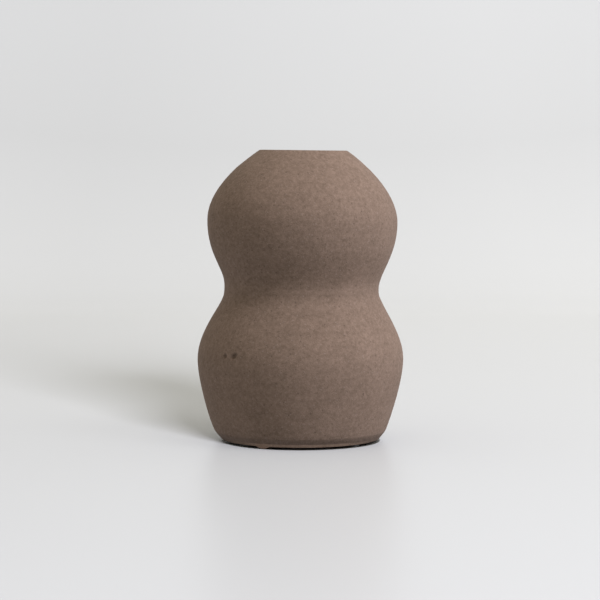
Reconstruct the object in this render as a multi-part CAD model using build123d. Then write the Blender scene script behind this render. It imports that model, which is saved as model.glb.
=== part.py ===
from build123d import *
import math
import os

# A double-gourd vase in unglazed stoneware. It is thrown as two hollow sections, a lower one with the floor
# and an upper one with the mouth, and the two are luted together with slip at the waist. A glaze coat lines
# the inside, so that the porous clay holds water, and small bumpers keep the rough foot off the table.
# Millimetres, +Z up, front towards -Y. The origin is on the table, under the centre of the foot.

# Heights, stacked from the table to the rim
BUMPER_HEIGHT = 1.2
FOOT_HEIGHT = 1.6
HEEL_RISE = 3.2
FLANK_RISE = 39.2
BELLY_TO_WAIST = 38.4
WAIST_TO_SHOULDER = 37.4
SHOULDER_TO_RIM = 39.0

# Outer radii, from the foot to the rim
FOOT_RADIUS = 44.5
HEEL_OVERHANG = 2.9
BELLY_RADIUS = 56.8
WAIST_RADIUS = 42.6
SHOULDER_RADIUS = 52.4
RIM_RADIUS = 23.5

# Clay thicknesses, and the widths of the worked edges
WALL = 6.0
FLOOR_THICKNESS = 6.0
FLOOR_FLAT_RADIUS = 30.0
FOOT_RING_WIDTH = 12.0
FOOT_RECESS = 2.0
RIM_WIDTH = 3.0
THROAT_LENGTH = 4.0
EDGE_ROUND = 0.5

# The joint at the waist: its slip layer, and how far the upper section leans to the right on it
SLIP_THICKNESS = 0.6
LEAN = 1.75
JOINT_SPARE = 0.3

# Liner glaze: its coat, and the bare band left under the rim
GLAZE_COAT = 0.4
GLAZE_BELOW_RIM = 1.5

# Bumpers under the foot ring
BUMPER_COUNT = 4
BUMPER_RADIUS = 4.5
BUMPER_ROUND = 0.4
FIRST_BUMPER = 45.0

# Slopes of the outline, in degrees above the horizontal
FOOT_SLOPE = 25.0
HEEL_SLOPE = 63.0
RIM_SLOPE = 33.0

# Fullness of each curve at its two ends, as a share of the curve's rise
HEEL_FULLNESS = (0.40, 0.40)
FLANK_FULLNESS = (0.13, 0.30)
BELLY_FULLNESS = (0.43, 0.18)
NECK_FULLNESS = (0.25, 0.52)
SHOULDER_FULLNESS = (0.43, 0.30)
BOWL_FULLNESS = (0.60, 0.60)

# Places that several pieces share
FOOT_TOP = BUMPER_HEIGHT + FOOT_HEIGHT
HEEL_Z = FOOT_TOP + HEEL_RISE
BELLY_Z = HEEL_Z + FLANK_RISE
WAIST_Z = BELLY_Z + BELLY_TO_WAIST
RECESS_Z = BUMPER_HEIGHT + FOOT_RECESS
FLOOR_Z = RECESS_Z + FLOOR_THICKNESS
HEEL_RADIUS = FOOT_RADIUS + HEEL_OVERHANG
FOOT_RING_INNER = FOOT_RADIUS - FOOT_RING_WIDTH
MOUTH_RADIUS = RIM_RADIUS - RIM_WIDTH
RIM_ABOVE_WAIST = WAIST_TO_SHOULDER + SHOULDER_TO_RIM

# The walls stand upright for this far above and below the waist, so that the slanted joint meets flush.
WAIST_BAND = WAIST_RADIUS * math.tan(math.radians(LEAN / 2)) + SLIP_THICKNESS / 2 + JOINT_SPARE

# The upper section stands on the waist's centre and leans. The joint's plane halves the angle.
UPPER_PLACE = Pos(0, 0, WAIST_Z) * Rot(0, LEAN, 0)
JOINT_PLANE = Plane(Pos(0, 0, WAIST_Z) * Rot(0, LEAN / 2, 0))


def at(radius, height):
    """A point of a profile, in the plane that is turned about the axis."""
    return Vector(radius, 0, height)


def curve(start, end, start_slope, end_slope, fullness):
    """A smooth curve between two points of a profile, with its slopes in degrees above the horizontal."""
    rise = abs(end.Z - start.Z)
    leave, arrive = math.radians(start_slope), math.radians(end_slope)
    first = start + at(math.cos(leave), math.sin(leave)) * rise * fullness[0]
    second = end - at(math.cos(arrive), math.sin(arrive)) * rise * fullness[1]
    return Bezier(start, first, second, end)


def turned(edges, rounded_corners=()):
    """The solid of a closed profile turned about Z, with some of the profile's corners rounded."""
    face = make_face(edges)
    if rounded_corners:
        corners = [face.vertices().sort_by_distance(corner)[0] for corner in rounded_corners]
        face = fillet(corners, EDGE_ROUND)
    return revolve(face, Axis.Z)


def lower_inside(inset, lift):
    """The hollow of the lower section from the axis to the waist, inset from the outside of the wall."""
    floor_middle = at(0, FLOOR_Z + lift)
    floor_edge = at(FLOOR_FLAT_RADIUS, FLOOR_Z + lift)
    belly = at(BELLY_RADIUS - inset, BELLY_Z)
    band_bottom = at(WAIST_RADIUS - inset, WAIST_Z - WAIST_BAND)
    band_top = at(WAIST_RADIUS - inset, WAIST_Z + WAIST_BAND)
    return [
        Line(floor_middle, floor_edge),
        curve(floor_edge, belly, 0, 90, BOWL_FULLNESS),
        curve(belly, band_bottom, 90, 90, BELLY_FULLNESS),
        Line(band_bottom, band_top),
    ]


def upper_inside(inset, throat_radius, throat_top):
    """The hollow of the upper section from the waist to the throat, with heights above the waist."""
    band_bottom = at(WAIST_RADIUS - inset, -WAIST_BAND)
    band_top = at(WAIST_RADIUS - inset, WAIST_BAND)
    shoulder = at(SHOULDER_RADIUS - inset, WAIST_TO_SHOULDER)
    throat_bottom = at(throat_radius, RIM_ABOVE_WAIST - THROAT_LENGTH)
    return [
        Line(band_bottom, band_top),
        curve(band_top, shoulder, 90, 90, NECK_FULLNESS),
        curve(shoulder, throat_bottom, 90, 180 - RIM_SLOPE, SHOULDER_FULLNESS),
        Line(throat_bottom, at(throat_radius, throat_top)),
    ]


def make_lower_section():
    """The thrown lower section: turned foot, floor and belly, up to its scored edge at the waist."""
    ring_top, ring_bottom = at(FOOT_RING_INNER, RECESS_Z), at(FOOT_RING_INNER, BUMPER_HEIGHT)
    foot_bottom, foot_top = at(FOOT_RADIUS, BUMPER_HEIGHT), at(FOOT_RADIUS, FOOT_TOP)
    heel, belly = at(HEEL_RADIUS, HEEL_Z), at(BELLY_RADIUS, BELLY_Z)
    band_bottom, band_top = at(WAIST_RADIUS, WAIST_Z - WAIST_BAND), at(WAIST_RADIUS, WAIST_Z + WAIST_BAND)
    outside = [
        Polyline(at(0, FLOOR_Z), at(0, RECESS_Z), ring_top, ring_bottom, foot_bottom, foot_top),
        curve(foot_top, heel, FOOT_SLOPE, HEEL_SLOPE, HEEL_FULLNESS),
        curve(heel, belly, HEEL_SLOPE, 90, FLANK_FULLNESS),
        curve(belly, band_bottom, 90, 90, BELLY_FULLNESS),
        Polyline(band_bottom, band_top, band_top - at(WALL, 0)),
    ]
    clay = turned(outside + lower_inside(WALL, 0), [ring_bottom, foot_bottom])
    return split(clay, JOINT_PLANE.offset(-SLIP_THICKNESS / 2), Keep.BOTTOM)


def make_upper_section():
    """The thrown upper section: from its scored edge at the waist, over the shoulder, to the cut rim."""
    band_bottom, band_top = at(WAIST_RADIUS, -WAIST_BAND), at(WAIST_RADIUS, WAIST_BAND)
    shoulder = at(SHOULDER_RADIUS, WAIST_TO_SHOULDER)
    rim, mouth = at(RIM_RADIUS, RIM_ABOVE_WAIST), at(MOUTH_RADIUS, RIM_ABOVE_WAIST)
    outside = [
        Polyline(band_bottom - at(WALL, 0), band_bottom, band_top),
        curve(band_top, shoulder, 90, 90, NECK_FULLNESS),
        curve(shoulder, rim, 90, 180 - RIM_SLOPE, SHOULDER_FULLNESS),
        Line(rim, mouth),
    ]
    clay = UPPER_PLACE * turned(outside + upper_inside(WALL, MOUTH_RADIUS, RIM_ABOVE_WAIST), [rim, mouth])
    return split(clay, JOINT_PLANE.offset(SLIP_THICKNESS / 2), Keep.TOP)


def make_luting_slip():
    """The thin ring of slip that bonds the two scored edges, with its halves along the two walls."""
    tube = Cylinder(WAIST_RADIUS, 2 * WAIST_BAND) - Cylinder(WAIST_RADIUS - WALL, 2 * WAIST_BAND)
    lower = split(Pos(0, 0, WAIST_Z) * tube, JOINT_PLANE, Keep.BOTTOM)
    lower = split(lower, JOINT_PLANE.offset(-SLIP_THICKNESS / 2), Keep.TOP)
    upper = split(UPPER_PLACE * tube, JOINT_PLANE, Keep.TOP)
    upper = split(upper, JOINT_PLANE.offset(SLIP_THICKNESS / 2), Keep.BOTTOM)
    return lower + upper


def make_liner_glaze():
    """The glaze coat, one skin from the floor, past the joint, up to the bare band under the rim."""
    inner = WALL + GLAZE_COAT
    lower_edges = [
        *lower_inside(WALL, 0),
        Line(at(WAIST_RADIUS - WALL, WAIST_Z + WAIST_BAND), at(WAIST_RADIUS - inner, WAIST_Z + WAIST_BAND)),
        *lower_inside(inner, GLAZE_COAT),
        Line(at(0, FLOOR_Z + GLAZE_COAT), at(0, FLOOR_Z)),
    ]
    top = RIM_ABOVE_WAIST - GLAZE_BELOW_RIM
    throat = MOUTH_RADIUS - GLAZE_COAT
    upper_edges = [
        *upper_inside(WALL, MOUTH_RADIUS, top),
        Line(at(MOUTH_RADIUS, top), at(throat, top)),
        *upper_inside(inner, throat, top),
        Line(at(WAIST_RADIUS - inner, -WAIST_BAND), at(WAIST_RADIUS - WALL, -WAIST_BAND)),
    ]
    lower = split(turned(lower_edges), JOINT_PLANE, Keep.BOTTOM)
    upper = split(UPPER_PLACE * turned(upper_edges), JOINT_PLANE, Keep.TOP)
    return lower + upper


def make_bumper(number):
    """One soft bumper, stuck to the middle of the foot ring."""
    disc = Cylinder(BUMPER_RADIUS, BUMPER_HEIGHT, align=(Align.CENTER, Align.CENTER, Align.MIN))
    disc = fillet(disc.edges().filter_by(GeomType.CIRCLE).sort_by(Axis.Z)[0], BUMPER_ROUND)
    angle = FIRST_BUMPER + 360 / BUMPER_COUNT * number
    return Rot(0, 0, angle) * Pos(FOOT_RADIUS - FOOT_RING_WIDTH / 2, 0, 0) * disc


def make_parts():
    """Every piece of the vase by its name."""
    parts = {
        "lower_section": make_lower_section(),
        "upper_section": make_upper_section(),
        "luting_slip": make_luting_slip(),
        "liner_glaze": make_liner_glaze(),
    }
    for number in range(BUMPER_COUNT):
        parts[f"foot_bumper_{number + 1}"] = make_bumper(number)
    return parts


os.makedirs("parts", exist_ok=True)
for name, solid in make_parts().items():
    export_step(solid, f"parts/{name}.step")
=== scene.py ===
import bpy
import math
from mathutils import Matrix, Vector


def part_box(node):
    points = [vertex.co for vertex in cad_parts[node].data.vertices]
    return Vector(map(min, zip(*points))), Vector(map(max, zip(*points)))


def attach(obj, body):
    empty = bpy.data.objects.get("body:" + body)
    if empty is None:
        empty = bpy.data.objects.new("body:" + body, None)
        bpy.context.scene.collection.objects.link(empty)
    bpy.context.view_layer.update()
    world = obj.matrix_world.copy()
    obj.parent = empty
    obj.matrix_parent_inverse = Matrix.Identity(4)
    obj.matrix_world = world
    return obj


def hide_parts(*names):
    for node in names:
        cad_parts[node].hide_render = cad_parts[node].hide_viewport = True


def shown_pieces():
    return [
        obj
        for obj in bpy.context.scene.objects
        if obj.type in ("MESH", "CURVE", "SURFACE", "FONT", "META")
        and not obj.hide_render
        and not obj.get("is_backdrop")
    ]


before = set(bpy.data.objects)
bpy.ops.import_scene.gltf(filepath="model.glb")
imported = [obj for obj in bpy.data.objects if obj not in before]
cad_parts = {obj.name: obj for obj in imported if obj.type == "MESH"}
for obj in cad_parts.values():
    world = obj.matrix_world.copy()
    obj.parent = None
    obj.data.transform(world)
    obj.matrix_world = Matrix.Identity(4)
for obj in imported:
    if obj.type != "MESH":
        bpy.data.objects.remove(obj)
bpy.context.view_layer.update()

mm = 0.001
weldGap = 0.01 * mm


# helpers for selecting and applying
def clearSelection():
    if bpy.context.object and bpy.context.object.mode != "OBJECT":
        bpy.ops.object.mode_set(mode="OBJECT")
    bpy.ops.object.select_all(action="DESELECT")


def makeActive(piece):
    clearSelection()
    piece.select_set(True)
    bpy.context.view_layer.objects.active = piece


def applyAll(piece):
    makeActive(piece)
    for name in [modifier.name for modifier in piece.modifiers]:
        bpy.ops.object.modifier_apply(modifier=name)


def smoothStep(low, high, value):
    share = min(max((value - low) / (high - low), 0.0), 1.0)
    return share * share * (3 - 2 * share)


def halfWidth(node, axis):
    low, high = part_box(node)
    return (high[axis] - low[axis]) / 2


# the vase's form, in metres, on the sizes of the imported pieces
slipLow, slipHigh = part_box("luting_slip")
vaseForm = {
    "footBottom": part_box("lower_section")[0].z,
    "footRadius": 44.9 * mm,
    "footEdgeRadius": 43.7 * mm,  # the foot's side draws in a little to its bottom edge
    "footTop": 2.8 * mm,
    "footRingInner": 32.5 * mm,
    "recessHeight": 3.2 * mm,
    "heelRadius": 47.4 * mm,
    "heelHeight": 6.0 * mm,
    "bellyRadius": halfWidth("lower_section", 0),
    "bellyHeight": 45.2 * mm,
    "waistRadius": halfWidth("luting_slip", 1),
    "waistHeight": (slipLow.z + slipHigh.z) / 2,
    "waistBand": 1.25 * mm,  # the wall is upright this far each side of the joint
    "shoulderRadius": halfWidth("upper_section", 1),
    "shoulderHeight": 121.0 * mm,
    "rimRadius": 24.0 * mm,
    "rimHeight": 160.0 * mm,
    "mouthRadius": 20.5 * mm,
    "throatHeight": 156.0 * mm,
    "wall": halfWidth("lower_section", 0) - halfWidth("liner_glaze", 0),
    "floorHeight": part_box("liner_glaze")[0].z,
    "floorRadius": 30.0 * mm,
    "slipThickness": 0.6 * mm,
    "lean": math.radians(1.75),  # the upper section leans to the right
    "rimLevel": math.radians(1.15),  # but its rim was cut nearly level
    "waistDrift": 0.55 * mm,  # and the waist was pushed over a little
    "heelDrift": -0.25 * mm,
    "rimDrift": -0.55 * mm,
    "waistReach": 13 * mm,  # how far up and down each of these pushes fades
    "heelReach": 13 * mm,
    "rimReach": 6 * mm,
    "heelPush": 14 * mm,  # the height of the heel's push
    "leanBand": 6 * mm,  # the lean bends the clay this far each side of the waist
    "levelLow": 9 * mm,  # the rim is levelled between these depths under it
    "levelHigh": 2 * mm,
    "footSlope": 46,  # slopes of the outline, in degrees above the horizontal
    "heelSlope": 63,
    "rimSlope": 147,
    "heelFullness": (0.4, 0.4),  # fullness of each curve at its two ends
    "flankFullness": (0.13, 0.30),
    "bellyFullness": (0.43, 0.18),
    "neckFullness": (0.25, 0.52),
    "shoulderFullness": (0.43, 0.30),
    "bowlFullness": (0.60, 0.60),
    "spokes": 400,
    "rowHeight": 0.62 * mm,
    "footRow": 0.3 * mm,  # finer or wider rows of faces where the clay turns or lies flat
    "heelRow": 0.4 * mm,
    "rimRow": 0.5 * mm,
    "throatRow": 0.4 * mm,
    "recessRow": 2 * mm,
    "recessSkin": 0.6,  # the share of the roughness that these take
    "footRingSkin": 0.4,
    "rimSkin": 0.7,
}
upright = 90


# one stretch of an outline: a bezier curve in the XZ plane, made into edges
def drawStretch(start, end, slopes=None, fullness=(1 / 3, 1 / 3), row=None, skin=0.0):
    start, end = Vector((start[0], 0, start[1])), Vector((end[0], 0, end[1]))
    if slopes is None:
        reaches = [(end - start) * share for share in fullness]
    else:
        rise = abs(end.z - start.z)
        angles = [math.radians(slope) for slope in slopes]
        headings = [Vector((math.cos(angle), 0, math.sin(angle))) for angle in angles]
        reaches = [heading * rise * share for heading, share in zip(headings, fullness)]
    clearSelection()
    bpy.ops.curve.primitive_bezier_curve_add(location=(0, 0, 0))
    stretch = bpy.context.object
    stretch.data.dimensions = "3D"
    for point, place, reach in zip(stretch.data.splines[0].bezier_points, (start, end), reaches):
        point.handle_left_type = point.handle_right_type = "FREE"
        point.co = place
        point.handle_left = place - reach
        point.handle_right = place + reach
    rowCount = round((end - start).length / (row or vaseForm["rowHeight"]))
    stretch.data.splines[0].resolution_u = max(1, rowCount)
    bpy.ops.object.convert(target="MESH")
    stretch = bpy.context.object
    group = stretch.vertex_groups.new(name="skin")
    group.add(range(len(stretch.data.vertices)), skin, "REPLACE")
    return stretch


# goes into edit mode with only the vertices selected that pass a test
def pickVertices(piece, test):
    makeActive(piece)
    bpy.ops.object.mode_set(mode="EDIT")
    bpy.ops.mesh.select_mode(type="VERT")
    bpy.ops.mesh.select_all(action="DESELECT")
    bpy.ops.object.mode_set(mode="OBJECT")
    for vertex in piece.data.vertices:
        vertex.select = test(vertex.co)
    bpy.ops.object.mode_set(mode="EDIT")


# joins the stretches, rounds the corners asked for, and spins the outline on the wheel's axis
def throwOnWheel(name, stretches, corners=(), spokes=None):
    makeActive(stretches[0])
    for stretch in stretches:
        stretch.select_set(True)
    bpy.ops.object.join()
    pot = bpy.context.object
    pot.name = pot.data.name = name
    bpy.ops.object.mode_set(mode="EDIT")
    bpy.ops.mesh.select_all(action="SELECT")
    bpy.ops.mesh.remove_doubles(threshold=weldGap)
    for radius, height, cornerRound in corners:
        pickVertices(pot, lambda p: math.hypot(p.x - radius, p.z - height) < weldGap)
        bpy.ops.mesh.bevel(offset=cornerRound, segments=4, profile=0.5, affect="VERTICES")
    bpy.ops.object.mode_set(mode="OBJECT")
    wheel = pot.modifiers.new("wheel", "SCREW")
    wheel.axis = "Z"
    wheel.steps = wheel.render_steps = spokes or vaseForm["spokes"]
    wheel.use_merge_vertices = True
    wheel.merge_threshold = weldGap
    applyAll(pot)
    bpy.ops.object.mode_set(mode="EDIT")
    bpy.ops.mesh.select_all(action="SELECT")
    bpy.ops.mesh.remove_doubles(threshold=weldGap)
    bpy.ops.mesh.normals_make_consistent(inside=False)
    bpy.ops.object.mode_set(mode="OBJECT")
    return pot


# the curves that the outside of the wall follows, from the foot to the rim
def outsideStretches(form):
    waistLow = form["waistHeight"] - form["waistBand"]
    waistHigh = form["waistHeight"] + form["waistBand"]
    footEdge = (form["footEdgeRadius"], form["footBottom"])
    foot, heel = (form["footRadius"], form["footTop"]), (form["heelRadius"], form["heelHeight"])
    belly, rim = (form["bellyRadius"], form["bellyHeight"]), (form["rimRadius"], form["rimHeight"])
    shoulder = (form["shoulderRadius"], form["shoulderHeight"])
    bandLow, bandHigh = (form["waistRadius"], waistLow), (form["waistRadius"], waistHigh)
    recess = (form["footRingInner"], form["recessHeight"])
    ringEdge = (form["footRingInner"], form["footBottom"])
    mouth = (form["mouthRadius"], form["rimHeight"])
    footTurn = (form["footSlope"], form["heelSlope"])
    return [
        drawStretch((0, form["recessHeight"]), recess, row=form["recessRow"], skin=form["recessSkin"]),
        drawStretch(recess, ringEdge, skin=form["recessSkin"]),
        drawStretch(ringEdge, footEdge, skin=form["footRingSkin"]),
        drawStretch(footEdge, foot, row=form["footRow"], skin=1),
        drawStretch(foot, heel, footTurn, form["heelFullness"], row=form["heelRow"], skin=1),
        drawStretch(heel, belly, (form["heelSlope"], upright), form["flankFullness"], skin=1),
        drawStretch(belly, bandLow, (upright, upright), form["bellyFullness"], skin=1),
        drawStretch(bandLow, bandHigh, skin=1),
        drawStretch(bandHigh, shoulder, (upright, upright), form["neckFullness"], skin=1),
        drawStretch(shoulder, rim, (upright, form["rimSlope"]), form["shoulderFullness"], skin=1),
        drawStretch(rim, mouth, row=form["rimRow"], skin=form["rimSkin"]),
    ]


# the curves of the hollow, from the mouth down to the middle of the floor
def insideStretches(form, inset, lift, throatTop, row):
    wall = form["wall"] + inset
    throat = form["mouthRadius"] - inset
    waistLow = form["waistHeight"] - form["waistBand"]
    waistHigh = form["waistHeight"] + form["waistBand"]
    shoulder = (form["shoulderRadius"] - wall, form["shoulderHeight"])
    belly = (form["bellyRadius"] - wall, form["bellyHeight"])
    bandHigh, bandLow = (form["waistRadius"] - wall, waistHigh), (form["waistRadius"] - wall, waistLow)
    floorTop = form["floorHeight"] + lift
    floorMiddle, floorEdge = (0, floorTop), (form["floorRadius"], floorTop)
    throatLow = (throat, form["throatHeight"])
    return [
        drawStretch(throatLow, (throat, throatTop), row=form["throatRow"]),
        drawStretch(shoulder, throatLow, (upright, form["rimSlope"]), form["shoulderFullness"], row=row),
        drawStretch(bandHigh, shoulder, (upright, upright), form["neckFullness"], row=row),
        drawStretch(bandLow, bandHigh, row=row),
        drawStretch(belly, bandLow, (upright, upright), form["bellyFullness"], row=row),
        drawStretch(floorEdge, belly, (0, upright), form["bowlFullness"], row=row),
        drawStretch(floorMiddle, floorEdge, row=row),
    ]


# a vertex group whose weight follows a function of the point
leastWeight = 0.002


def paintWeights(piece, name, weightAt):
    group = piece.vertex_groups.new(name=name)
    for vertex in piece.data.vertices:
        weight = weightAt(vertex.co)
        if weight > leastWeight:
            group.add([vertex.index], min(weight, 1.0), "REPLACE")
    return group


# bends a piece sideways between two heights; what is below stays upright
def bendBetween(piece, low, high, angle):
    clearSelection()
    bpy.ops.object.empty_add(location=(0, 0, low))
    hinge = bpy.context.object
    bpy.context.view_layer.update()
    heights = [vertex.co.z for vertex in piece.data.vertices]
    bottom, height = min(heights), max(heights) - min(heights)
    bend = piece.modifiers.new("bend", "SIMPLE_DEFORM")
    bend.deform_method = "BEND"
    bend.deform_axis = "Y"
    bend.angle = angle
    bend.origin = hinge
    bend.limits = ((low - bottom) / height, min((high - bottom) / height, 1.0))
    applyAll(piece)
    bpy.data.objects.remove(hinge)


# leans the upper part over the waist, levels the rim, and pushes waist, heel and rim sideways
def leanOver(piece, form):
    pushes = {
        "waistPush": (form["waistHeight"], form["waistReach"], form["waistDrift"]),
        "heelPush": (form["heelPush"], form["heelReach"], form["heelDrift"]),
        "rimPush": (form["rimHeight"], form["rimReach"], form["rimDrift"]),
    }
    for group, (height, reach, push) in pushes.items():
        paintWeights(piece, group, lambda p: math.exp(-(((p.z - height) / reach) ** 2)))
    waist, rim = form["waistHeight"], form["rimHeight"]
    bendBetween(piece, waist - form["leanBand"], waist + form["leanBand"], form["lean"])
    bendBetween(piece, rim - form["levelLow"], rim - form["levelHigh"], -form["rimLevel"])
    for group, (height, reach, push) in pushes.items():
        drift = piece.modifiers.new(group, "DISPLACE")
        drift.direction = "X"
        drift.vertex_group = group
        drift.mid_level = 0
        drift.strength = push
    applyAll(piece)


# pushes a piece's surface in and out by a cloud pattern, inside one vertex group
cloudPlace = (0.31, 0.17, 0.23)  # off the axis, so that no pattern starts on the vase
ringStretch = 1000  # a pattern stretched this far sideways changes only with height, as rings do


def roughen(piece, label, size, height, group, flat=False, inward=0.75, depth=2, direction="NORMAL"):
    clearSelection()
    bpy.ops.object.empty_add(location=cloudPlace)
    carrier = bpy.context.object
    if flat:
        carrier.scale = (ringStretch, ringStretch, 1)
    bpy.context.view_layer.update()
    pattern = bpy.data.textures.new(label, "CLOUDS")
    pattern.noise_scale = size
    pattern.noise_depth = depth
    push = piece.modifiers.new(label, "DISPLACE")
    push.texture = pattern
    push.texture_coords = "OBJECT"
    push.texture_coords_object = carrier
    push.vertex_group = group
    push.direction = direction
    push.mid_level = inward
    push.strength = 2 * height
    applyAll(piece)
    bpy.data.objects.remove(carrier)
    bpy.data.textures.remove(pattern)


# clay body, thrown as one form and cut at the waist afterwards
claySkin = {
    "rings": 3.4 * mm, "ringHeight": 0.045 * mm,
    "wobble": 34 * mm, "wobbleHeight": 0.12 * mm,
    "grain": 1.5 * mm, "grainHeight": 0.075 * mm,
    "footRound": 0.9 * mm,
    "mouthRound": 0.8 * mm,
    "rimRound": 1.5 * mm,  # the rim's outer edge was sponged rounder
    "insideRow": 3.5 * mm,
    "grainDepth": 3,
    "crease": math.radians(38),  # sharper edges than this stay crisp
}
rimTop = vaseForm["rimHeight"]
vaseCorners = [
    (vaseForm["footRingInner"], vaseForm["footBottom"], claySkin["footRound"]),
    (vaseForm["footEdgeRadius"], vaseForm["footBottom"], claySkin["footRound"]),
    (vaseForm["rimRadius"], rimTop, claySkin["rimRound"]),
    (vaseForm["mouthRadius"], rimTop, claySkin["mouthRound"]),
]
vaseOutline = outsideStretches(vaseForm) + insideStretches(vaseForm, 0, 0, rimTop, claySkin["insideRow"])
vase = throwOnWheel("clayVase", vaseOutline, vaseCorners)
print("vase thrown:", len(vase.data.polygons), "faces")

roughen(vase, "wobble", claySkin["wobble"], claySkin["wobbleHeight"], "skin")
roughen(vase, "rings", claySkin["rings"], claySkin["ringHeight"], "skin", flat=True)
roughen(vase, "grain", claySkin["grain"], claySkin["grainHeight"], "skin", depth=claySkin["grainDepth"])
print("clay skin roughened")


# two pits where grit was dragged out of the belly
clayPits = [
    {
        "place": (-40.6 * mm, -39.5 * mm, 50.0 * mm),
        "long": 3.6 * mm, "wide": 3.0 * mm, "turn": 96, "depth": 0.9 * mm,
    },
    {
        "place": (-35.8 * mm, -43.9 * mm, 50.3 * mm),
        "long": 5.6 * mm, "wide": 3.8 * mm, "turn": 42, "depth": 1.1 * mm,
    },
]
pitEdge = {
    "wallReach": 3 * mm,  # only the outer face of the wall is dented
    "flat": 0.35,  # the share of the pit that is its flat bottom
    "cutReach": 0.8,  # the clay is cut finer this far round, as a share of the pit's length
    "cuts": 3,
}


def pitShare(point, pit):
    place = Vector(pit["place"])
    outward = Vector((place.x, place.y, 0)).normalized()
    step = point - place
    if abs(step.dot(outward)) > pitEdge["wallReach"]:
        return 0.0
    right = Vector((0, 0, 1)).cross(outward)
    turn = math.radians(pit["turn"])
    across, up = step.dot(right), step.z
    along = across * math.cos(turn) + up * math.sin(turn)
    aside = up * math.cos(turn) - across * math.sin(turn)
    return 1 - smoothStep(pitEdge["flat"], 1.0, 2 * math.hypot(along / pit["long"], aside / pit["wide"]))


for pit in clayPits:
    cutReach = pitEdge["cutReach"] * pit["long"]
    pickVertices(vase, lambda p: (p - Vector(pit["place"])).length < cutReach)
    bpy.ops.mesh.subdivide(number_cuts=pitEdge["cuts"])
    bpy.ops.object.mode_set(mode="OBJECT")
# how far inside a pit each point lies, for the painted shade in the dents
pitShadeMask = [max(pitShare(vertex.co, pit) for pit in clayPits) for vertex in vase.data.vertices]
for number, pit in enumerate(clayPits):
    paintWeights(vase, f"pit{number}", lambda p: pitShare(p, pit))
    dent = vase.modifiers.new(f"pit{number}", "DISPLACE")
    dent.vertex_group = f"pit{number}"
    dent.mid_level = 0
    dent.strength = -pit["depth"]
applyAll(vase)
pitTone = vase.data.attributes.new("pitTone", "FLOAT", "POINT")
pitTone.data.foreach_set("value", pitShadeMask)
print("pits pressed:", sum(share > 0.5 for share in pitShadeMask), "points")

# a crumb of clay that the turning tool left under the foot's edge
footCrumb = {
    "place": (-20.6 * mm, -39.4 * mm, 1.9 * mm),
    "reach": 5.0 * mm, "drop": 0.9 * mm, "bulge": 0.25 * mm,
    "flat": 0.25,  # the share of its reach that drops in full
    "squat": 1.4,  # it is wider than tall by this
}


def crumbShare(point):
    step = point - Vector(footCrumb["place"])
    away = math.hypot(step.x, step.y, footCrumb["squat"] * step.z) / footCrumb["reach"]
    return 1 - smoothStep(footCrumb["flat"], 1.0, away)


crumbMask = [crumbShare(vertex.co) for vertex in vase.data.vertices]
paintWeights(vase, "crumb", crumbShare)
for direction, strength in (("Z", -footCrumb["drop"]), ("NORMAL", footCrumb["bulge"])):
    drop = vase.modifiers.new("crumb" + direction, "DISPLACE")
    drop.vertex_group = "crumb"
    drop.direction = direction
    drop.mid_level = 0
    drop.strength = strength
applyAll(vase)
crumbTone = vase.data.attributes.new("crumbTone", "FLOAT", "POINT")
crumbTone.data.foreach_set("value", crumbMask)

leanOver(vase, vaseForm)
print("upper part leaned over")


# the part of the vase between two slanted cuts, closed where it was cut
def cutSection(name, lowCut=None, highCut=None):
    makeActive(vase)
    bpy.ops.object.duplicate()
    section = bpy.context.object
    section.name = section.data.name = name
    slant = vaseForm["lean"] / 2
    square = Vector((math.sin(slant), 0, math.cos(slant)))
    middle = Vector((0, 0, vaseForm["waistHeight"]))
    bpy.ops.object.mode_set(mode="EDIT")
    for cut, above in ((lowCut, True), (highCut, False)):
        if cut is not None:
            bpy.ops.mesh.select_all(action="SELECT")
            bpy.ops.mesh.bisect(
                plane_co=middle + square * cut,
                plane_no=square,
                use_fill=True,
                clear_inner=above,
                clear_outer=not above,
            )
    bpy.ops.object.mode_set(mode="OBJECT")
    section.vertex_groups.clear()
    makeActive(section)
    bpy.ops.object.shade_smooth_by_angle(angle=claySkin["crease"])
    return section


halfSlip = vaseForm["slipThickness"] / 2
clayLower = cutSection("clayLower", highCut=-halfSlip)
slipRing = cutSection("slipRing", lowCut=-halfSlip, highCut=halfSlip)
clayUpper = cutSection("clayUpper", lowCut=halfSlip)
bpy.data.objects.remove(vase)
for piece, node, slotName in (
    (clayLower, "lower_section", "stoneware"),
    (slipRing, "luting_slip", "slip"),
    (clayUpper, "upper_section", "stoneware"),
):
    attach(piece, "root")
    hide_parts(node)
    print(piece.name, len(piece.data.polygons), "faces")

# glaze lining: the hollow's own skin, run a little unevenly at its top edge
glazeForm = {
    "coat": 0.4 * mm,
    "top": 158.4 * mm,
    "edgeRun": 0.9 * mm,
    "edgeSize": 7 * mm,
    "edgeInward": 0.5,
    "rings": 5.5 * mm, "ringHeight": 0.09 * mm,
    "ringInward": 0.2,
    "ringFade": 4 * mm,  # the finger rings fade out this far under the throat
    "spokes": 180,
    "row": 1.2 * mm,
    "crease": math.radians(50),
}
glazeCoat, glazeTop = glazeForm["coat"], glazeForm["top"]
liningOutline = insideStretches(vaseForm, glazeCoat, glazeCoat, glazeTop, glazeForm["row"])
glazeLining = throwOnWheel("glazeLining", liningOutline, spokes=glazeForm["spokes"])
makeActive(glazeLining)
bpy.ops.object.mode_set(mode="EDIT")
bpy.ops.mesh.select_all(action="SELECT")
bpy.ops.mesh.flip_normals()  # an open skin turns its faces outwards, and this one is seen from inside
bpy.ops.object.mode_set(mode="OBJECT")
edgeLow = vaseForm["throatHeight"]
ringTop = edgeLow - glazeForm["ringFade"]
paintWeights(glazeLining, "edge", lambda p: smoothStep(edgeLow, glazeTop, p.z))
paintWeights(glazeLining, "wall", lambda p: 1 - smoothStep(ringTop, edgeLow, p.z))
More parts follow.
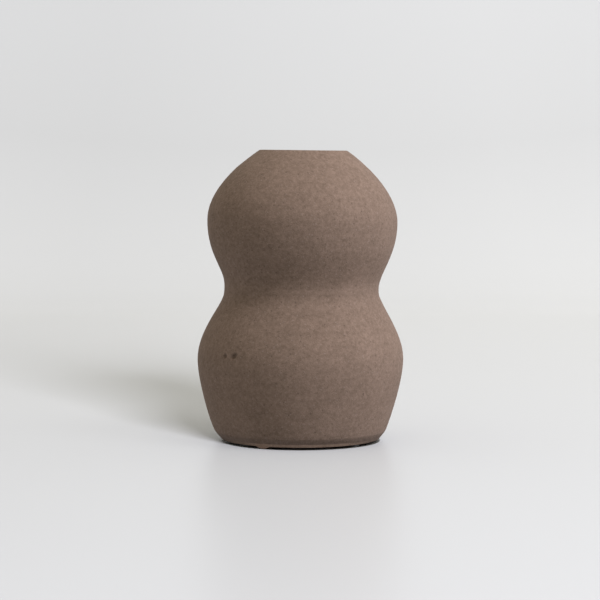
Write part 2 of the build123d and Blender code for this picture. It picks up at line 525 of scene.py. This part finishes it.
roughen(
    glazeLining, "fingerRings", glazeForm["rings"], glazeForm["ringHeight"], "wall",
    flat=True, inward=glazeForm["ringInward"],
)
roughen(
    glazeLining, "edgeRun", glazeForm["edgeSize"], glazeForm["edgeRun"], "edge",
    inward=glazeForm["edgeInward"], direction="Z",
)
leanOver(glazeLining, vaseForm)
coat = glazeLining.modifiers.new("coat", "SOLIDIFY")
coat.thickness = glazeCoat
coat.offset = -1
applyAll(glazeLining)
glazeLining.vertex_groups.clear()
bpy.ops.object.shade_smooth_by_angle(angle=glazeForm["crease"])
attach(glazeLining, "root")
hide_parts("liner_glaze")
print("glaze lining poured:", len(glazeLining.data.polygons), "faces")


# shader helpers
def addNode(tree, kind, sockets=None, **settings):
    node = tree.nodes.new(kind)
    for name, value in settings.items():
        setattr(node, name, value)
    for socket, value in (sockets or {}).items():
        if isinstance(value, bpy.types.NodeSocket):
            tree.links.new(value, node.inputs[socket])
        else:
            node.inputs[socket].default_value = value
    return node


def mathNode(tree, operation, first, second=0.0, clamp=False):
    node = addNode(tree, "ShaderNodeMath", {0: first, 1: second}, operation=operation, use_clamp=clamp)
    return node.outputs[0]


def remap(tree, value, low, high, newLow=0.0, newHigh=1.0):
    sockets = {0: value, 1: low, 2: high, 3: newLow, 4: newHigh}
    return addNode(tree, "ShaderNodeMapRange", sockets, clamp=True).outputs[0]


def mixColour(tree, share, first, second, blend="MIX"):
    sockets = {0: share, 6: first, 7: second}
    return addNode(tree, "ShaderNodeMix", sockets, data_type="RGBA", blend_type=blend).outputs[2]


def makeGroup(name, inputs, outputs):
    group = bpy.data.node_groups.new(name, "ShaderNodeTree")
    for socket, kind, value in inputs:
        made = group.interface.new_socket(name=socket, in_out="INPUT", socket_type="NodeSocket" + kind)
        made.default_value = value
    for socket, kind in outputs:
        group.interface.new_socket(name=socket, in_out="OUTPUT", socket_type="NodeSocket" + kind)
    return group, addNode(group, "NodeGroupInput").outputs, addNode(group, "NodeGroupOutput")


def newMaterial(name, **values):
    material = bpy.data.materials.new(name)
    material.use_nodes = True
    shader = material.node_tree.nodes["Principled BSDF"]
    for socket, value in values.items():
        shader.inputs[socket.replace("_", " ")].default_value = value
    return material, material.node_tree, shader


def dress(piece, material):
    piece.data.materials.clear()
    piece.data.materials.append(material)


# sandy grain: value noise, dark specks and pale sand over a clay colour, with the height for its bump
grainMix = {
    # shares of the tone
    "fine": 0.12, "coarse": 0.40, "mottle": 0.12, "cloud": 0.18, "streak": 0.09, "grit": 0.26,
    # scales, times the grain per metre
    "coarseScale": 0.45, "mottleScale": 0.19, "gritScale": 1.5, "cellScale": 0.62,
    "cloudPerMetre": 40.0,
    "streakPerMetre": (14, 14, 420),
    "noiseRange": (0.3, 0.7),
    "toneRange": (0.26, 0.90),
    "roughRange": (0.97, 0.86),
    "dotRange": (0.42, 0.2),  # from a cell's edge to its dot
    "speckLots": (0.12, 0.08),  # the draws that make a cell a speck
    "sandLots": (0.86, 0.9),  # and those that make it sand
    "sandRelief": 0.35, "gritRelief": 0.4, "speckRelief": 0.3, "streakRelief": 0.3,
}
grainGroup, grainIn, grainOut = makeGroup(
    "sandyGrain",
    (
        ("Dark clay", "Color", (0.2, 0.14, 0.11, 1)),
        ("Light clay", "Color", (0.3, 0.21, 0.17, 1)),
        ("Speck", "Color", (0.06, 0.04, 0.03, 1)),
        ("Sand", "Color", (0.45, 0.36, 0.3, 1)),
        ("Grain per metre", "Float", 1000.0),
        ("Speckle", "Float", 0.5),
    ),
    (("Color", "Color"), ("Roughness", "Float"), ("Height", "Float")),
)
grainPlace = addNode(grainGroup, "ShaderNodeTexCoord").outputs["Object"]
grainScale = grainIn["Grain per metre"]


def grainTimes(value, factor):
    return mathNode(grainGroup, "MULTIPLY", value, factor)


def grainNoise(scale, detail, roughness=0.5, vector=grainPlace):
    sockets = {"Vector": vector, "Scale": scale, "Detail": detail, "Roughness": roughness}
    return addNode(grainGroup, "ShaderNodeTexNoise", sockets).outputs["Fac"]


def grainCells(scale):
    cells = addNode(grainGroup, "ShaderNodeTexVoronoi", {"Vector": grainPlace, "Scale": scale})
    lots = addNode(grainGroup, "ShaderNodeSeparateColor", {0: cells.outputs["Color"]})
    return cells.outputs["Distance"], lots.outputs


streakMap = {"Vector": grainPlace, "Scale": grainMix["streakPerMetre"]}
streaked = addNode(grainGroup, "ShaderNodeMapping", streakMap)
noises = {
    "fine": grainNoise(grainScale, 4.0, 0.62),
    "coarse": grainNoise(grainTimes(grainScale, grainMix["coarseScale"]), 3.0, 0.6),
    "mottle": grainNoise(grainTimes(grainScale, grainMix["mottleScale"]), 1.0),
    "cloud": grainNoise(grainMix["cloudPerMetre"], 6.0, 0.68),
    "streak": grainNoise(1.0, 3.0, vector=streaked.outputs[0]),
}
gritDistance, gritLots = grainCells(grainTimes(grainScale, grainMix["gritScale"]))
dotDistance, dotLots = grainCells(grainTimes(grainScale, grainMix["cellScale"]))
dot = remap(grainGroup, dotDistance, *grainMix["dotRange"])
isSpeck = mathNode(grainGroup, "MULTIPLY", dot, remap(grainGroup, dotLots[0], *grainMix["speckLots"]))
isSand = mathNode(grainGroup, "MULTIPLY", dot, remap(grainGroup, dotLots[1], *grainMix["sandLots"]))
tone = grainTimes(gritLots[0], grainMix["grit"])
for name, noise in noises.items():
    spread = remap(grainGroup, noise, *grainMix["noiseRange"])
    tone = mathNode(grainGroup, "ADD", tone, grainTimes(spread, grainMix[name]))
tone = remap(grainGroup, tone, *grainMix["toneRange"])
clayTone = mixColour(grainGroup, tone, grainIn["Dark clay"], grainIn["Light clay"])
speckShare = mathNode(grainGroup, "MULTIPLY", isSpeck, grainIn["Speckle"])
sandShare = mathNode(grainGroup, "MULTIPLY", isSand, grainIn["Speckle"])
clayTone = mixColour(grainGroup, speckShare, clayTone, grainIn["Speck"])
clayTone = mixColour(grainGroup, sandShare, clayTone, grainIn["Sand"])
relief = noises["fine"]
for operation, value, share in (
    ("ADD", isSand, grainMix["sandRelief"]),
    ("SUBTRACT", gritDistance, grainMix["gritRelief"]),
    ("SUBTRACT", isSpeck, grainMix["speckRelief"]),
    ("ADD", noises["streak"], grainMix["streakRelief"]),
):
    relief = mathNode(grainGroup, operation, relief, grainTimes(value, share))
grainRough = remap(grainGroup, noises["fine"], *grainMix["noiseRange"], *grainMix["roughRange"])
grainGroup.links.new(clayTone, grainOut.inputs["Color"])
grainGroup.links.new(grainRough, grainOut.inputs["Roughness"])
grainGroup.links.new(relief, grainOut.inputs["Height"])

# bare fired clay for the two sections, and the slip a shade finer
clayFinish = {
    "dark": (0.128, 0.089, 0.065, 1),
    "light": (0.216, 0.152, 0.117, 1),
    "speck": (0.054, 0.036, 0.028, 1),
    "sand": (0.24, 0.180, 0.150, 1),
    "grain": 1250.0,
    "speckle": 0.5,
    "bump": 0.28,
    "bumpHeight": 0.5 * mm,
    # painted shade: the dented pits take this darker colour
    "pit": (0.07, 0.045, 0.032, 1),
    "pitShare": 0.45,
    "crumb": (0.15, 0.098, 0.070, 1),
    "crumbShare": 0.7,
    "gloss": 0.2,
    "footShade": 0.80,  # painted shade: the colour is this much darker under the heel
    "stripPaintedLight": 1.60,  # painted light: and lighter on the foot's side in front
    "shadeTop": 6.3 * mm,
    "shadeFade": 0.7 * mm,
    "stripTop": 3.0 * mm,  # the foot's side in front is kept out of the painted shade and painted lighter
    "stripFade": 0.3 * mm,
    "stripSide": 38 * mm,
}
slipFinish = dict(clayFinish, grain=1400.0, speckle=0.3)


def clayMaterial(name, finish):
    material, tree, shader = newMaterial(name, Specular_IOR_Level=finish["gloss"])
    grainValues = {
        "Dark clay": finish["dark"],
        "Light clay": finish["light"],
        "Speck": finish["speck"],
        "Sand": finish["sand"],
        "Grain per metre": finish["grain"],
        "Speckle": finish["speckle"],
    }
    grain = addNode(tree, "ShaderNodeGroup", grainValues, node_tree=grainGroup)
    colour = grain.outputs["Color"]
    # the pits are darkened as painted shade in the dents; the crumb takes its own clay colour
    for flaw in ("pit", "crumb"):
        there = addNode(tree, "ShaderNodeAttribute", attribute_name=flaw + "Tone").outputs["Fac"]
        share = mathNode(tree, "MULTIPLY", there, finish[flaw + "Share"])
        colour = mixColour(tree, share, colour, finish[flaw])
    # painted shade under the heel and painted light on the foot's side in front, placed by height and by
    # side
    place = addNode(tree, "ShaderNodeTexCoord").outputs["Object"]
    spot = addNode(tree, "ShaderNodeSeparateXYZ", {0: place})
    shadeTop, stripTop, stripFade = finish["shadeTop"], finish["stripTop"], finish["stripFade"]
    underHeel = remap(tree, spot.outputs["Z"], shadeTop, shadeTop - finish["shadeFade"])
    onStrip = remap(tree, spot.outputs["Z"], stripTop + stripFade, stripTop - stripFade)
    aside = mathNode(tree, "ABSOLUTE", spot.outputs["X"])
    inFront = remap(tree, aside, finish["stripSide"], 0.5 * finish["stripSide"])
    paintedLightStrip = mathNode(tree, "MULTIPLY", onStrip, inFront)
    shade = mathNode(tree, "MULTIPLY", underHeel, mathNode(tree, "SUBTRACT", 1.0, paintedLightStrip))
    for share, factor in ((shade, finish["footShade"]), (paintedLightStrip, finish["stripPaintedLight"])):
        colour = mixColour(tree, share, colour, (factor, factor, factor, 1), "MULTIPLY")
    bump = addNode(
        tree,
        "ShaderNodeBump",
        {"Height": grain.outputs["Height"], "Strength": finish["bump"], "Distance": finish["bumpHeight"]},
    )
    tree.links.new(colour, shader.inputs["Base Color"])
    tree.links.new(grain.outputs["Roughness"], shader.inputs["Roughness"])
    tree.links.new(bump.outputs["Normal"], shader.inputs["Normal"])
    return material


stoneware = clayMaterial("bareStoneware", clayFinish)
dress(clayLower, stoneware)
dress(clayUpper, stoneware)
dress(slipRing, clayMaterial("stonewareSlip", slipFinish))

# honey-brown liner glaze, thin and pooled in a stretched noise pattern with a finer break noise
glazeFinish = {
    "thin": (0.20, 0.105, 0.055, 1),
    "pooled": (0.075, 0.036, 0.020, 1),
    "runPerMetre": (30, 30, 180),
    "breakPerMetre": 420.0,
    "breakShare": 0.5,
    "toneRange": (0.5, 1.0),
    "noiseRange": (0.3, 0.7),
    "roughRange": (0.1, 0.2),
    "bump": 0.2,
    "bumpHeight": 0.3 * mm,
}
glazeBrown, glazeTree, glazeShader = newMaterial(
    "linerGlaze", Coat_Weight=0.6, Coat_Roughness=0.06, Specular_IOR_Level=0.5
)
glazePlace = addNode(glazeTree, "ShaderNodeTexCoord").outputs["Object"]
runMap = {"Vector": glazePlace, "Scale": glazeFinish["runPerMetre"]}
glazeMap = addNode(glazeTree, "ShaderNodeMapping", runMap)
runNoise = {"Vector": glazeMap.outputs[0], "Scale": 1.0, "Detail": 4.0}
breakNoise = {"Vector": glazePlace, "Scale": glazeFinish["breakPerMetre"], "Detail": 3.0}
glazeRun = addNode(glazeTree, "ShaderNodeTexNoise", runNoise).outputs["Fac"]
glazeBreak = addNode(glazeTree, "ShaderNodeTexNoise", breakNoise).outputs["Fac"]
breakTone = mathNode(glazeTree, "MULTIPLY", glazeBreak, glazeFinish["breakShare"])
glazeTone = remap(glazeTree, mathNode(glazeTree, "ADD", glazeRun, breakTone), *glazeFinish["toneRange"])
glazeColour = mixColour(glazeTree, glazeTone, glazeFinish["pooled"], glazeFinish["thin"])
glazeRough = remap(glazeTree, glazeBreak, *glazeFinish["noiseRange"], *glazeFinish["roughRange"])
glazeBump = addNode(
    glazeTree,
    "ShaderNodeBump",
    {"Height": glazeRun, "Strength": glazeFinish["bump"], "Distance": glazeFinish["bumpHeight"]},
)
glazeTree.links.new(glazeColour, glazeShader.inputs["Base Color"])
glazeTree.links.new(glazeRough, glazeShader.inputs["Roughness"])
glazeTree.links.new(glazeBump.outputs["Normal"], glazeShader.inputs["Normal"])
dress(glazeLining, glazeBrown)

# soft bumpers keep their CAD shape and get a fine matt rubber
bumperFinish = {
    "dark": (0.016, 0.015, 0.014, 1),
    "light": (0.032, 0.030, 0.028, 1),
    "grainPerMetre": 2600.0,
    "noiseRange": (0.3, 0.7),
    "roughRange": (0.72, 0.58),
    "bump": 0.25,
    "bumpHeight": 0.1 * mm,
}
bumperRubber, rubberTree, rubberShader = newMaterial("bumperRubber", Specular_IOR_Level=0.35)
rubberPlace = addNode(rubberTree, "ShaderNodeTexCoord").outputs["Object"]
rubberNoise = {"Vector": rubberPlace, "Scale": bumperFinish["grainPerMetre"], "Detail": 3.0}
rubberGrain = addNode(rubberTree, "ShaderNodeTexNoise", rubberNoise).outputs["Fac"]
rubberColour = mixColour(rubberTree, rubberGrain, bumperFinish["dark"], bumperFinish["light"])
rubberRough = remap(rubberTree, rubberGrain, *bumperFinish["noiseRange"], *bumperFinish["roughRange"])
rubberBump = addNode(
    rubberTree,
    "ShaderNodeBump",
    {"Height": rubberGrain, "Strength": bumperFinish["bump"], "Distance": bumperFinish["bumpHeight"]},
)
rubberTree.links.new(rubberColour, rubberShader.inputs["Base Color"])
rubberTree.links.new(rubberRough, rubberShader.inputs["Roughness"])
rubberTree.links.new(rubberBump.outputs["Normal"], rubberShader.inputs["Normal"])
for name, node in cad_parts.items():
    if name.startswith("foot_bumper"):
        for slot in node.material_slots:
            slot.material = bumperRubber
        if not node.material_slots:
            node.data.materials.append(bumperRubber)
print("materials made")

# studio sweep: a flat pale floor that curves up into a wall all round
studio = {
    "flatRadius": 0.95,
    "bend": 1.4,
    "bendAngle": math.radians(75),
    "bendSteps": 16,
    "spokes": 128,
    "crease": math.radians(30),
    # painted light: the sweep is paler to the right, as if lit from that side
    "leftTone": (0.383, 0.390, 0.389, 1),
    "rightTone": (0.426, 0.434, 0.433, 1),
    "toneSide": 0.25,  # how far to each side these two tones are reached
    "bounce": 0.80,  # the share of its tone that lights other things
    # painted shade and light by depth: darker near the front and towards the low lamp, paler behind the
    # vase and less so up the wall
    "nearTone": (-0.45, 0.825),  # how far behind the vase, and the tone's factor there
    "farTone": (0.95, 1.25),
    "wallTone": (1.6, 0.94),
    "frontTone": (-1.5, 0.45),  # towards the low lamp
    "roughness": 0.36,
    "gloss": 0.16,
    "standRadius": 44.0 * mm,  # the spot under the foot, which the low lamps don't reach
}
spokes, standRadius = studio["spokes"], studio["standRadius"]
clearSelection()
bpy.ops.mesh.primitive_circle_add(vertices=spokes, radius=standRadius, fill_type="NGON")
standSpot = bpy.context.object
standSpot.name = standSpot.data.name = "standSpot"
clearSelection()
bpy.ops.mesh.primitive_circle_add(vertices=spokes, radius=standRadius, fill_type="NOTHING")
sweep = bpy.context.object
sweep.name = sweep.data.name = "studioSweep"
bpy.ops.object.mode_set(mode="EDIT")
bpy.ops.mesh.select_all(action="SELECT")
bpy.ops.mesh.extrude_edges_move()
flatShare = studio["flatRadius"] / standRadius
bpy.ops.transform.resize(value=(flatShare, flatShare, 1), center_override=(0, 0, 0))
for step in range(studio["bendSteps"]):
    turn = studio["bendAngle"] * (step + 1) / studio["bendSteps"]
    before = studio["bendAngle"] * step / studio["bendSteps"]
    rise = studio["bend"] * (math.cos(before) - math.cos(turn))
    grow = studio["flatRadius"] + studio["bend"] * math.sin(turn)
    last = studio["flatRadius"] + studio["bend"] * math.sin(before)
    bpy.ops.mesh.extrude_edges_move(TRANSFORM_OT_translate={"value": (0, 0, rise)})
    bpy.ops.transform.resize(value=(grow / last, grow / last, 1), center_override=(0, 0, 0))
bpy.ops.mesh.select_all(action="SELECT")
bpy.ops.mesh.normals_make_consistent(inside=True)
bpy.ops.object.mode_set(mode="OBJECT")
bpy.ops.object.shade_smooth_by_angle(angle=studio["crease"])
sweepCard, sweepTree, sweepShader = newMaterial(
    "sweepCard", Roughness=studio["roughness"], Specular_IOR_Level=studio["gloss"]
)
sweepPlace = addNode(sweepTree, "ShaderNodeTexCoord").outputs["Object"]
sweepSides = addNode(sweepTree, "ShaderNodeSeparateXYZ", {0: sweepPlace})
# painted light and shade on the sweep: paler to the right, darker near the front and towards the low lamp,
# paler behind
sweepShare = remap(sweepTree, sweepSides.outputs["X"], -studio["toneSide"], studio["toneSide"])
sweepColour = mixColour(sweepTree, sweepShare, studio["leftTone"], studio["rightTone"])
(nearPlace, nearTone), (farPlace, farTone) = studio["nearTone"], studio["farTone"]
wallPlace, wallTone = studio["wallTone"]
floorTone = remap(sweepTree, sweepSides.outputs["Y"], nearPlace, farPlace, nearTone, farTone)
wallFade = remap(sweepTree, sweepSides.outputs["Y"], farPlace, wallPlace, 1.0, wallTone / farTone)
frontPlace, frontTone = studio["frontTone"]
frontFade = remap(sweepTree, sweepSides.outputs["Y"], nearPlace, frontPlace, 1.0, frontTone)
depthTone = mathNode(sweepTree, "MULTIPLY", mathNode(sweepTree, "MULTIPLY", floorTone, wallFade), frontFade)
depthGrey = addNode(sweepTree, "ShaderNodeCombineColor", {0: depthTone, 1: depthTone, 2: depthTone})
sweepColour = mixColour(sweepTree, 1.0, sweepColour, depthGrey.outputs[0], "MULTIPLY")
bounceGrey = (studio["bounce"], studio["bounce"], studio["bounce"], 1)
bounced = addNode(sweepTree, "ShaderNodeLightPath").outputs["Is Diffuse Ray"]
sweepColour = mixColour(sweepTree, bounced, sweepColour, bounceGrey, "MULTIPLY")
sweepTree.links.new(sweepColour, sweepShader.inputs["Base Color"])
for ground in (sweep, standSpot):
    dress(ground, sweepCard)
    ground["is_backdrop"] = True

# light: a key box in front on the right and an edge box behind it, both for the vase alone,
# and a low lamp and a soft sun that only the sweep receives
softBoxes = {
    "keyBox": {"azimuth": 60, "elevation": 37, "size": 1.5, "power": 111.0, "lights": "vase"},
    "edgeBox": {"azimuth": 110, "elevation": 20, "size": 1.5, "power": 20.0, "lights": "vase"},
    "sweepFront": {"azimuth": 17, "elevation": 17, "size": 1.1, "power": 360.0, "lights": "sweep"},
}
boxDistance = 3.2
sweepSun = {"azimuth": 55, "elevation": 50, "softness": 25, "strength": 0.55}
boxTint = (1.0, 1.0, 1.10)
skyLight = {"strength": 0.85, "tint": (1.0, 0.95, 0.82, 1)}
receivers = {"vase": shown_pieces(), "sweep": [sweep]}
for name, objects in receivers.items():
    receivers[name] = bpy.data.collections.new(name + "Light")
    for lit in objects:
        receivers[name].objects.link(lit)
aim = Vector((0, 0, 0.08))


def towardLight(light):
    azimuth, elevation = math.radians(light["azimuth"]), math.radians(light["elevation"])
    level = math.cos(elevation)
    return Vector((math.sin(azimuth) * level, -math.cos(azimuth) * level, math.sin(elevation)))


for name, box in softBoxes.items():
    toLight = towardLight(box)
    clearSelection()
    bpy.ops.object.light_add(type="AREA", location=aim + toLight * boxDistance)
    lamp = bpy.context.object
    lamp.name = name
    lamp.rotation_euler = toLight.to_track_quat("Z", "Y").to_euler()
    lamp.data.shape = "SQUARE"
    lamp.data.size = box["size"]
    lamp.data.energy = box["power"]
    lamp.data.color = boxTint
    lamp.visible_camera = False
    lamp.visible_glossy = box["lights"] == "vase"  # no glare on the sweep
    lamp.light_linking.receiver_collection = receivers[box["lights"]]
    lamp.light_linking.blocker_collection = receivers["vase"]  # it shines over the sweep's edge
clearSelection()
bpy.ops.object.light_add(type="SUN", location=aim + towardLight(sweepSun) * boxDistance)
lamp = bpy.context.object
lamp.name = "sweepSun"
lamp.rotation_euler = towardLight(sweepSun).to_track_quat("Z", "Y").to_euler()
lamp.data.angle = math.radians(sweepSun["softness"])
lamp.data.energy = sweepSun["strength"]
lamp.visible_glossy = False
lamp.light_linking.receiver_collection = receivers["sweep"]
sky = bpy.data.worlds.new("studioSky")
sky.use_nodes = True
sky.node_tree.nodes["Background"].inputs["Color"].default_value = skyLight["tint"]
sky.node_tree.nodes["Background"].inputs["Strength"].default_value = skyLight["strength"]
bpy.context.scene.world = sky
bpy.context.scene.view_settings.view_transform = "Standard"

# camera: level with the rim, a little over a metre away
cameraView = {
    "place": (-0.22 * mm, -1.230, 0.160),
    "pitch": 3.835,
    "lens": 134.2,
    "sensor": 36,
    "nearest": 0.01,
}
cameraTilt = math.radians(90 - cameraView["pitch"])
clearSelection()
bpy.ops.object.camera_add(location=cameraView["place"], rotation=(cameraTilt, 0, 0))
camera = bpy.context.object
camera.data.sensor_width = cameraView["sensor"]
camera.data.lens = cameraView["lens"]
camera.data.clip_start = cameraView["nearest"]
bpy.context.scene.camera = camera
print("studio lit, camera set")
